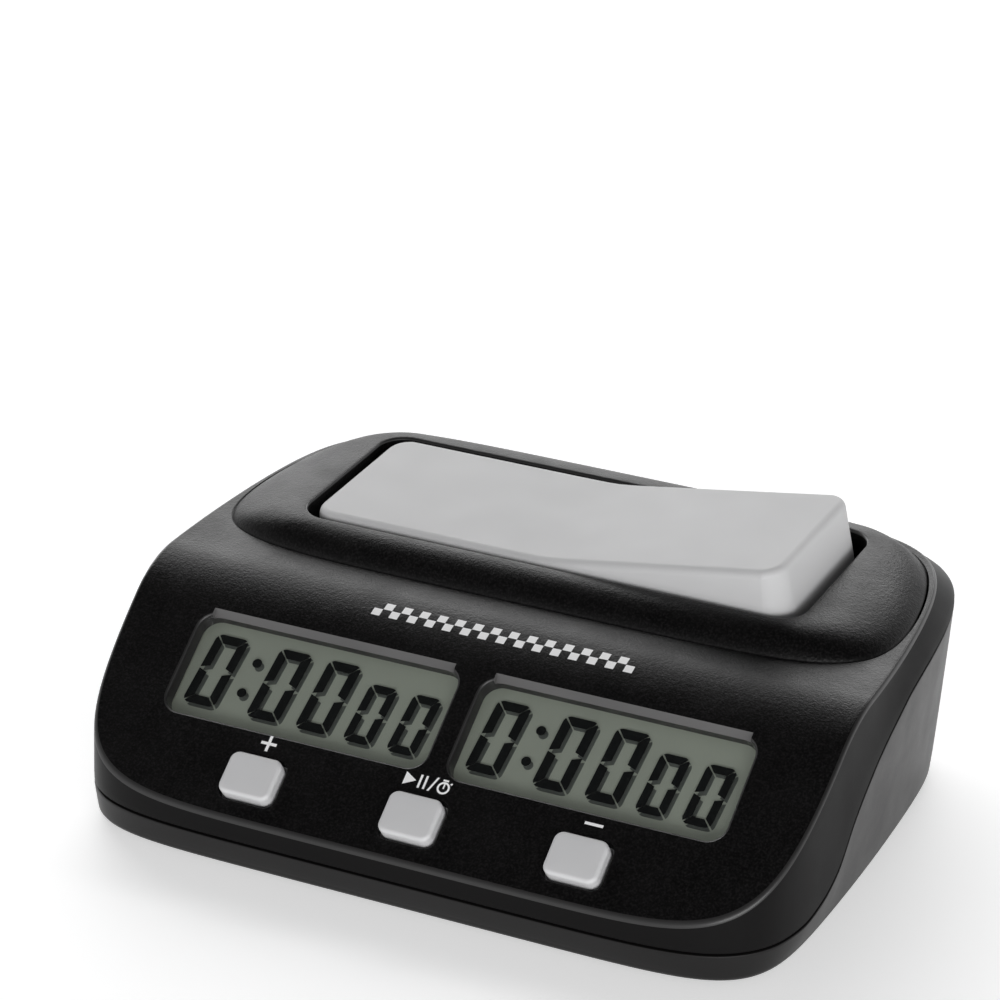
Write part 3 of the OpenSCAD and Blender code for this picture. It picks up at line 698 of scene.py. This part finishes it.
def bottom_cover():
    b = Build()
    S = case_out(0)
    sz = seam_z(S[:, 1])
    rings = []
    R = 1.3
    for a in (0, 25, 50, 75, 90):
        k = math.radians(a)
        rings.append(ring3(lower_out(0.0, -R * (1 - math.sin(k))), 1.0 + R * (1 - math.cos(k))))
    z0, z1 = 1.0 + R, sz - 0.42
    for t in np.linspace(0, 1, 12)[1:]:
        f = t ** 0.86
        rings.append(ring3(lower_out(f, 0), z0 + (z1 - z0) * t))
    rings.append(ring3(case_out(-0.06), sz - 0.22))
    rings.append(ring3(case_out(-0.3), sz - 0.1))
    rings.append(ring3(case_out(-2.42), sz - 0.1))
    # tongue that stands up inside the top shell
    for g, up in ((-2.44, 1.15), (-2.58, 1.3), (-3.2, 1.3), (-3.34, 1.15), (-3.4, -0.8)):
        rings.append(ring3(case_out(g), sz + up))
    rings.append(ring3(lower_out(0.8, -2.6), 3.6 + (sz - 1.4 - 3.6) * 0.86))
    for t in (0.5, 0.0):
        rings.append(ring3(lower_out(t, -2.3), 3.6 + (sz - 0.3 - 3.6) * t))
    rings.append(ring3(lower_out(0.0, -2.8), 3.2))
    b.loft(rings)
    o = temp(b, "bottom_v")
    o.data.materials.append(M_LOWER)
    add = Build()
    for x, y, z in SCREWS:
        add.cyl(x, y, [(4.4, 2.4), (4.2, z)])
    add.profile(68, 19.2, 2.2, [(0, 2.4), (0, 15), (1.6, 15), (1.6, 2.4)], cx=0, cy=CELL_Y, closed=True)
    add.cyl(BUZZ[0], BUZZ[1], [(12, 2.4), (12, 6.1), (11.7, 6.4)], 48)
    add.profile(16.8, 10, 1, [(0, 2.4), (0, 5)], cx=PWR[0], cy=PWR[1])
    boolean(o, temp(add, "add"), "UNION")
    pad = Build()
    pad.profile(62, 10.4, 1, [(0, 2.4), (0, 4.2)], cx=0, cy=CELL_Y + 13.4)
    boolean(o, temp(pad, "pad"), "UNION")
    cut = Build()
    cut.profile(56.4, 26.4, 1.0, [(-0.35, -1), (-0.35, 0.75), (0, 1.15), (0, 2.9)], cx=0, cy=CELL_Y + 4.6)
    for p in FEET:
        cut.cyl(p[0], p[1], [(5.3, 0), (5.3, 1.2), (5.1, 1.5)], 48)
    for x, y, z in SCREWS:
        h = 4.2 if y < 0 else 16
        cut.cyl(x, y, [(3.5, 0), (3.5, 1.0), (3.1, 1.4), (3.1, h), (1.6, h + 0.01), (1.6, z + 2)], 40)
    for i in (-1, 0, 1):
        for j in (-1, 0, 1):
            cut.cyl(BUZZ[0] + 4 * i, BUZZ[1] + 4 * j, [(1.05, 0.5), (1.05, 1.0), (0.8, 1.25), (0.8, 3.4)], 20)
    cut.profile(12.8, 5.2, 1.2, [(-0.3, 0), (-0.3, 1.0), (0, 1.3), (0, 2)], cx=PWR[0], cy=PWR[1])
    boolean(o, temp(cut, "cut"), "DIFFERENCE")
    cut = Build()
    cut.profile(58.4, 26.4, 0.6, [(0, 1.8), (0, 2.6)], cx=0, cy=CELL_Y + 4.6)
    cut.cyl(BUZZ[0], BUZZ[1], [(8.4, 3.2), (8.4, 4.2), (10.2, 4.21), (10.2, 8)], 48)
    cut.profile(14.2, 7.4, 0.5, [(0, 3.2), (0, 8)], cx=PWR[0], cy=PWR[1])
    boolean(o, temp(cut, "cut"), "DIFFERENCE")
    cut = Build()
    cut.profile(8.8, 3.4, 0.4, [(0, 1), (0, 5)], cx=PWR[0], cy=PWR[1])
    cut.profile(52, 15.2, 0.8, [(0, 2.2), (0, 5)], cx=0, cy=CELL_Y)
    boolean(o, temp(cut, "cut"), "DIFFERENCE")
    clean(o)
    shade(o, 28)
    return piece(o, "bottom_cover_shell", "case", ["bottom_cover"])


# ---------------------------------------------------------------- rocker


def rocker_top(x, h0=10.2):
    """Top line of the rocker, a shallow V with a soft middle."""
    s, r = math.tan(SWING / 2), 2.2
    return h0 + s * (np.sqrt(np.asarray(x, float) ** 2 + r * r) - r * 0.55)


def rocker():
    L, W, R, F = 100.8, 37.6, 5.2, 1.7
    pts, nrm = rr(L, W, R, 14, 40)
    lean = np.abs(nrm[:, :1]) * 1.35
    b = Build()
    rings = []
    s = math.tan(SWING / 2)

    def low(p):
        return 10.2 - 12.6 + np.abs(p[:, 0]) * s

    p = pts - nrm * 0.35
    rings.append(ring3(p, low(pts)))
    rings.append(ring3(pts, low(pts) + 0.4))
    mid = rocker_top(pts[:, 0]) - F
    for k in (0.35, 0.7, 1.0):
        rings.append(ring3(pts - nrm * lean * k, (low(pts) + 0.4) * (1 - k) + mid * k))
    for a in (12, 24, 36, 48, 60, 72, 82, 90):
        t = math.radians(a)
        p = pts - nrm * (lean + F * (1 - math.cos(t)))
        rings.append(ring3(p, rocker_top(p[:, 0]) - F * (1 - math.sin(t))))
    base = pts - nrm * (lean + F)
    spine = np.clip(base[:, 0], -(L / 2 - W / 2), L / 2 - W / 2)
    for k in (0.12, 0.3, 0.5, 0.7, 0.85, 1.0):
        x = base[:, 0] * (1 - k) + spine * k
        y = base[:, 1] * (1 - k)
        rings.append(np.column_stack([x, y, rocker_top(x) + 0.12 * (1 - (1 - k) ** 2)]))
    ids = b.loft(rings, caps=(False, False))
    # hollow underside
    inn = pts - nrm * (2.0 + lean)
    pin = pts - nrm * (2.6 + lean)
    under = [ring3(inn, low(pts)), ring3(inn, rocker_top(inn[:, 0]) - 3.0), ring3(pin, rocker_top(pin[:, 0]) - 2.3)]
    sp = np.clip(pin[:, 0], -(L / 2 - W / 2), L / 2 - W / 2)
    for k in (0.4, 0.8, 1.0):
        x = pin[:, 0] * (1 - k) + sp * k
        under.append(np.column_stack([x, pin[:, 1] * (1 - k), rocker_top(x) - 2.2]))
    inner = [ids[0]] + [b.add(r) for r in under]
    n = len(pts)
    for a, c in zip(inner[:-1], inner[1:]):
        for j in range(n):
            b.face((a[j], c[j], c[(j + 1) % n], a[(j + 1) % n]))
    o = temp(b, "rocker_v")
    o.data.materials.append(M_ROCK)
    add = Build()
    hub = Build()
    hub.cyl(0, 0, [(3.7, -9), (4.0, -8.7), (4.0, 8.7), (3.7, 9)], 40)
    add.merge(hub.move(Matrix.Rotation(PI / 2, 4, "X")))
    boolean(o, temp(add, "add"), "UNION")
    add = Build()
    add.profile(4, 17.6, 0.6, [(0, 0.5), (0, 9)], side=3, seg=4)
    for x in (-44, -26, 26, 44):
        z = abs(x) * s
        add.profile(1.6, W - 2.4, 0.3, [(0, 2.4 + z), (0, 9 + z)], cx=x, side=3, seg=3)
    boolean(o, temp(add, "add"), "UNION")
    add = Build()
    a = np.linspace(PI, 2 * PI, 13)
    poly = [(0.7, -1.0), (-0.7, -1.0), (-0.7, -11.0)] + [(0.9 * math.cos(t), -11.5 + 0.9 * math.sin(t)) for t in a] + [(0.7, -11.0)]
    add.prism(poly, -4, 4)
    add.move(Matrix.Rotation(PI / 2, 4, "X"))
    boolean(o, temp(add, "add"), "UNION")
    cut = Build()
    cut.cyl(0, 0, [(1.55, -12), (1.55, 12)], 40)
    cut.move(Matrix.Rotation(PI / 2, 4, "X"))
    boolean(o, temp(cut, "cut"), "DIFFERENCE")
    clean(o)
    o.data.transform(Matrix.Scale(1 / MM, 4))
    o.data.transform(ROCK)
    o.data.transform(Matrix.Scale(MM, 4))
    shade(o, 35)
    return piece(o, "rocker_bar", "rocker", ["rocker_lever"])


# ---------------------------------------------------------------- keys


def key(i, name, body, node):
    b = Build()
    f = 0.85
    prof = [(0.1, -3.3), (-0.9, -3.35), (-0.9, -2.5), (0.05, -2.4), (0.05, 2.0 - f)]
    prof += [(0.05 + f * (1 - math.cos(math.radians(a))), 2.0 - f + f * math.sin(math.radians(a)) * 0.93) for a in (15, 30, 45, 60, 75, 88)]
    b.profile(KEY_W, KEY_H, 1.9, prof, cx=i * KEY_U, cy=KEY_V, seg=12, side=6, crown=0.1)
    stem = Build()
    stem.cyl(i * KEY_U, KEY_V, [(1.6, -6.9), (2.0, -6.6), (2.0, -3.0)], 32)
    o = temp(b.move(ON_FACE), name)
    o.data.materials.append(M_KEY)
    boolean(o, temp(stem.move(ON_FACE), "stem"), "UNION")
    clean(o)
    shade(o, 40)
    return piece(o, name, body, [node])


# ---------------------------------------------------------------- displays


def arc_pts(cx, cy, r, a0, a1, n=5):
    return [(cx + r * math.cos(math.radians(a0 + (a1 - a0) * i / n)), cy + r * math.sin(math.radians(a0 + (a1 - a0) * i / n))) for i in range(n + 1)]


def digit_segments(w, h, t, g=0.26, rho=1.35):
    """The six lit segments of a zero, in the box (0, 0) to (w, h)."""
    q = g * 0.5
    top = arc_pts(rho, h - rho, rho, 128, 90, 4) + arc_pts(w - rho, h - rho, rho, 90, 52, 4) + [(w - t - q * 1.2, h - t), (t + q * 1.2, h - t)]
    ul = [(0, h / 2 + q)] + [(t, h / 2 + t * 0.42)] + [(t, h - t - q * 1.2)] + arc_pts(rho, h - rho, rho, 142, 180, 4)
    ur = [(w - x, y) for x, y in ul][::-1]
    flip = lambda poly: [(x, h - y) for x, y in poly][::-1]
    return [top, ul, ur, flip(top), flip(ul), flip(ur)]


def display(s, side):
    cx = s * WIN_C
    # reflector and back of the panel
    b = Build()
    b.profile(WIN_W + 2, WIN_H + 4.4, 0.5, [(0.15, -6.9), (0, -6.75), (0, -5.75), (0.1, -5.65)], cx=cx, cy=WIN_H / 2)
    b.profile(WIN_W + 2, WIN_H + 1.6, 0.5, [(0.1, -5.66), (0, -5.6), (0, -5.38), (0.08, -5.3)], cx=cx, cy=WIN_H / 2)
    make(b.move(ON_FACE), "lcd_panel_" + side, "case", [M_LCD], ["lcd_" + side])
    # the lit segments, a little above the reflector so that their shadows fall on it; a grey copy of them on the
    # reflector, offset right and down, is a painted shadow
    seg, painted_shadow = Build(), Build()
    off = s * WIN_C + WIN_C
    du, dv, z0, z1 = -0.23, 0.2, -4.56, -4.5
    slant = 0.086
    for u0, v0, w, h, t in ((-55.75, 4.05, 6.9, 15.1, 1.8), (-42.1, 4.05, 6.9, 15.1, 1.85), (-31.7, 4.05, 6.9, 15.1, 1.85),
                            (-21.6, 3.95, 5.85, 12.4, 1.6), (-12.5, 3.95, 5.85, 12.4, 1.6)):
        for poly in digit_segments(w, h, t):
            seg.prism([(u0 + du + off + x + slant * y, v0 + dv + y) for x, y in poly], z0, z1)
            # painted shadow: the same segment shifted 0.42 right and 0.36 down onto the reflector
            painted_shadow.prism([(u0 + du + off + x + slant * y + 0.42, v0 + dv + y - 0.36) for x, y in poly], -5.28, -5.24)
    for u0, v0 in ((-44.25, 15.0), (-44.7, 8.4)):
        seg.cyl(u0 + du + off, v0 + dv, [(0.95, z0), (0.95, z1)], 28)
        painted_shadow.cyl(u0 + du + off + 0.42, v0 + dv - 0.36, [(0.95, -5.28), (0.95, -5.24)], 28)
    make(painted_shadow.move(ON_FACE), "lcd_digit_painted_shadow_" + side, "case", [M_PAINTED_SHADOW], (), weighted=False)
    make(seg.move(ON_FACE), "lcd_digits_" + side, "case", [M_SEG], (), weighted=False)
    lens = Build()
    lens.profile(WIN_W + 2, WIN_H + 2.4, 2.0, [(0.2, -4.3), (0, -4.1), (0, -3.5), (0.2, -3.32)], cx=cx, cy=WIN_H / 2)
    make(lens.move(ON_FACE), "window_lens_" + side, "case", [M_LENS], ["display_lens_" + side])


# ---------------------------------------------------------------- printed marks


def prints():
    b = Build()
    z0, z1 = -0.01, 0.035

    def poly(p):
        b.prism(p, z0, z1)

    def bar(x0, y0, x1, y1):
        poly([(x0, y0), (x1, y0), (x1, y1), (x0, y1)])

    # plus
    cx, cy = -32.9, -2.0
    w = 0.29
    poly([(cx - 1.6, cy - w), (cx - w, cy - w), (cx - w, cy - 1.6), (cx + w, cy - 1.6), (cx + w, cy - w), (cx + 1.6, cy - w),
          (cx + 1.6, cy + w), (cx + w, cy + w), (cx + w, cy + 1.6), (cx - w, cy + 1.6), (cx - w, cy + w), (cx - 1.6, cy + w)])
    # minus
    bar(31.5, -2.45, 35.1, -1.9)
    # play, pause, slash
    poly([(-4.7, -3.35), (-2.32, -2.05), (-4.7, -0.75)])
    bar(-1.76, -3.4, -1.32, -0.7)
    bar(-0.67, -3.4, -0.24, -0.7)
    poly([(0.32, -3.5), (0.72, -3.5), (1.88, -0.5), (1.49, -0.5)])
    # stopwatch
    a = 2 * PI * np.arange(40) / 40
    c = np.stack([np.cos(a), np.sin(a)], 1)
    m = np.array([3.27, -2.3])
    b.loft([ring3(m + 1.25 * c, z0), ring3(m + 1.25 * c, z1), ring3(m + 0.87 * c, z1), ring3(m + 0.87 * c, z0)], closed=True)
    bar(2.72, -0.95, 3.82, -0.6)
    poly([(4.27, -1.25), (4.52, -1.5), (4.82, -1.2), (4.57, -0.95)])
    poly([(3.14, -2.45), (3.42, -2.45), (3.42, -1.45), (3.14, -1.45)])
    b.move(ON_FACE)
    # a plain chequered strip that follows the bend above the windows
    q, n, v0, mid = 1.85, 29, 28.8, 1.9
    for i in range(n):
        for j in range(2):
            if (i + j) % 2 == 0:
                x0, x1 = mid + (i - n / 2) * q + 0.04, mid + (i + 1 - n / 2) * q - 0.04
                vs = np.linspace(v0 + j * q + 0.04, v0 + (j + 1) * q - 0.04, 5)
                lo = [[b.add([on_surface(x, v, -0.03)])[0] for x in (x0, x1)] for v in vs]
                hi = [[b.add([on_surface(x, v, 0.03)])[0] for x in (x0, x1)] for v in vs]
                for k in range(4):
                    b.face((hi[k][0], hi[k][1], hi[k + 1][1], hi[k + 1][0]))
                    b.face((lo[k][0], lo[k + 1][0], lo[k + 1][1], lo[k][1]))
                    b.face((lo[k][0], hi[k][0], hi[k + 1][0], lo[k + 1][0]))
                    b.face((lo[k][1], lo[k + 1][1], hi[k + 1][1], hi[k][1]))
                b.face((lo[0][0], lo[0][1], hi[0][1], hi[0][0]))
                b.face((lo[4][0], hi[4][0], hi[4][1], lo[4][1]))
    return make(b, "face_printing", "case", [M_PRINT], (), weighted=False)


# ---------------------------------------------------------------- underside


def battery_door():
    b = Build()
    z0, z1 = 1.08, 2.8
    b.profile(56, 17.2, 0.8, [(0.35, z0), (0, z0 + 0.35), (0, z1)], cx=0, cy=CELL_Y + 0.2, side=8)
    o = temp(b, "door")
    o.data.materials.append(M_LOWER)
    rails = Build()
    rails.profile(58, 16.9, 0.6, [(0, 1.92), (0, 2.48)], cx=0, cy=CELL_Y + 0.2)
    boolean(o, temp(rails, "r"), "UNION")
    add = Build()
    add.profile(51.6, 6.8, 0.6, [(0, 2.6), (0, 3.4), (0.2, 3.6)], cx=0, cy=CELL_Y - 4.0)
    boolean(o, temp(add, "a"), "UNION")
    cut = Build()
    for i in range(5):
        cut.profile(14 - 1.6 * i, 0.62, 0.28, [(-0.12, 0.9), (-0.1, 1.15), (0, 1.6)], cx=0, cy=CELL_Y + 1.9 + 1.4 * i, seg=4, side=4)
    boolean(o, temp(cut, "c"), "DIFFERENCE")
    clean(o)
    shade(o, 30)
    return piece(o, "battery_door_panel", "door", ["battery_door"])


def feet():
    b = Build()
    for x, y in FEET:
        b.cyl(x, y, [(3.6, 0.12), (3.75, 0.0), (4.35, 0.0), (4.6, 0.12), (4.78, 0.4), (4.95, 1.0), (4.95, 1.5)], 48)
    return make(b, "rubber_feet_pads", "case", [M_RUB], ["rubber_feet"], angle=40)


top_cover()
bottom_cover()
rocker()
key(-1, "key_plus", "plus_key", "button_plus")
key(0, "key_start", "start_key", "button_start")
key(1, "key_minus", "minus_key", "button_minus")
display(-1, "left")
display(1, "right")
prints()
battery_door()
feet()

# ---------------------------------------------------------------- carried-over CAD nodes
FINISH = {
    "rocker_pivot_pin": M_STEEL, "rocker_bumpers": M_RUB, "rocker_switch_board": M_PCB, "rocker_switch_body": M_TIN,
    "rocker_switch_knob": M_DARK, "switch_board_screws": M_STEEL, "button_membrane": M_SIL, "display_holder": M_HOLD,
    "zebra_strips": M_ZEBRA, "main_circuit_board": M_PCB, "controller_chip": M_EPOXY, "timing_crystal": M_TIN,
    "capacitors": M_SLEEVE, "chip_resistors": M_EPOXY, "board_screws": M_STEEL, "battery_cell": M_CELL,
    "battery_spring": M_NICKEL, "battery_contact": M_NICKEL, "battery_leads": M_RED, "power_switch_body": M_TIN,
    "power_switch_knob": M_DARK, "buzzer_disc": M_BRASS, "buzzer_leads": M_BLACKW, "switch_leads": M_GREYW, "case_screws": M_STEEL,
}
for name, mat in FINISH.items():
    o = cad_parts[name]
    if len(o.material_slots) == 0:
        o.data.materials.append(mat)
    for sl in o.material_slots:
        sl.link = "OBJECT"
        sl.material = mat

# ---------------------------------------------------------------- floor, lights, camera
fm = Mat("pale_floor")
fm.set(Base_Color=fm.ramp(fm.noise(3.0, 2.0), (0.3, (0.86, 0.86, 0.86)), (0.7, (0.88, 0.88, 0.88))), Roughness=fm.span(fm.noise(12.0), 0.5, 0.6), Specular_IOR_Level=0.3)
bpy.ops.mesh.primitive_plane_add(size=24.0, location=(0, 4.0, -0.00002))
floor = bpy.context.object
floor.name = "floor"
fm.set(Emission_Color=(1.0, 1.0, 1.0), Emission_Strength=0.45)
floor.data.materials.append(fm.mat)

world = bpy.data.worlds.new("studio")
bpy.context.scene.world = world
world.use_nodes = True
wt = world.node_tree
wt.nodes.clear()
wo = wt.nodes.new("ShaderNodeOutputWorld")
bg = wt.nodes.new("ShaderNodeBackground")
tc = wt.nodes.new("ShaderNodeTexCoord")
sp = wt.nodes.new("ShaderNodeSeparateXYZ")
rp = wt.nodes.new("ShaderNodeValToRGB")
for _ in range(2):
    rp.color_ramp.elements.new(0.5)
for e, (pos, v) in zip(rp.color_ramp.elements, ((0.0, 1.0), (0.2, 0.9), (0.42, 0.3), (0.72, 0.06))):
    e.position, e.color = pos, (v, v, v * 1.01, 1)
wt.links.new(tc.outputs["Generated"], sp.inputs[0])
wt.links.new(sp.outputs["Z"], rp.inputs[0])
wt.links.new(rp.outputs[0], bg.inputs[0])
bg.inputs[1].default_value = 1.25
wt.links.new(bg.outputs[0], wo.inputs[0])


def area(name, loc, target, size, power, col=(1, 1, 1), sy=None):
    d = bpy.data.lights.new(name, "AREA")
    d.energy, d.color = power, col
    d.shape = "RECTANGLE"
    d.size, d.size_y = size, sy or size
    o = bpy.data.objects.new(name, d)
    bpy.context.scene.collection.objects.link(o)
    o.location = loc
    o.rotation_euler = (Vector(target) - Vector(loc)).to_track_quat("-Z", "Y").to_euler()
    return o


area("key", (-0.75, 1.25, 0.86), (0, 0, 0.03), 1.9, 21, sy=0.95)
area("front_low", (1.1, -1.35, 0.42), (0, 0, 0.03), 1.6, 15, sy=0.5)

cam_d = bpy.data.cameras.new("camera")
cam = bpy.data.objects.new("camera", cam_d)
bpy.context.scene.collection.objects.link(cam)
cam_d.sensor_width, cam_d.lens = 36.0, 144.0
cam_d.clip_start, cam_d.clip_end = 0.05, 60
rv = Vector((1.985096239394041, 0.45659238974893357, -0.2850884413585291))
Rm = Quaternion(rv.normalized(), rv.length).to_matrix()
cam.matrix_world = Matrix.Translation(Vector((287.175, -605.405, 386.138)) * MM) @ Matrix((Rm[0], -Rm[1], -Rm[2])).transposed().to_4x4()
bpy.context.scene.camera = cam
bpy.context.scene.view_settings.view_transform = "Standard"
